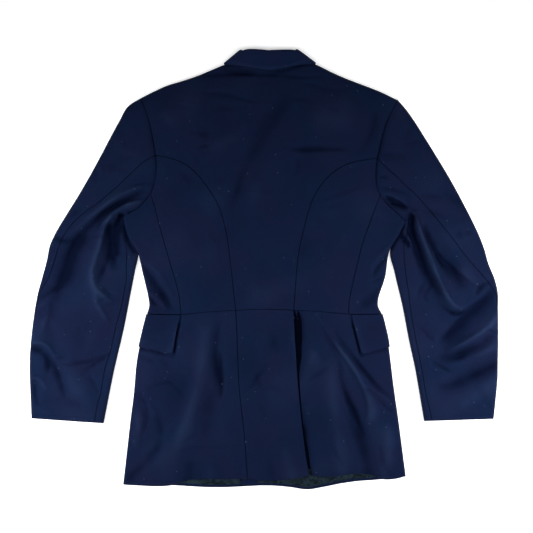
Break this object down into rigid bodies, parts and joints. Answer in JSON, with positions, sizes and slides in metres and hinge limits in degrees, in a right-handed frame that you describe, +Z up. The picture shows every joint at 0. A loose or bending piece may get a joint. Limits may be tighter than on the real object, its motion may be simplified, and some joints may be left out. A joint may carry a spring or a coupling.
{
  "type": "military dress tunic",
  "caption": "Navy wool military dress tunic with fall collar, seamed waist, pleated skirt and pocket flaps, laid flat with its back up.",
  "frame": {"origin": "middle of the garment's outline in plan, on the surface it lies on", "axes": "+X across the garment towards the wearer's right sleeve, +Y from the hem towards the collar, +Z up from the surface, out of the back"},
  "size_m": [0.8686, 0.816, 0.015],
  "materials": {
    "navy_wool": "matt gabardine twill",
    "lining_satin": "satin"
  },
  "bodies": {
    "root": {"back_centre": "navy_wool", "back_side_left": "navy_wool", "back_side_right": "navy_wool", "collar": "navy_wool", "flap_left": "navy_wool", "flap_right": "navy_wool", "front_left": "navy_wool", "front_right": "navy_wool", "lining_left": "lining_satin", "lining_right": "lining_satin", "pleat_underlay_left": "navy_wool", "pleat_underlay_right": "navy_wool", "side_left": "navy_wool", "side_right": "navy_wool", "skirt_back": "navy_wool", "skirt_left": "navy_wool", "skirt_right": "navy_wool", "top_sleeve_left": "navy_wool", "top_sleeve_right": "navy_wool", "under_sleeve_left": "navy_wool", "under_sleeve_right": "navy_wool"}
  },
  "joints": []
}
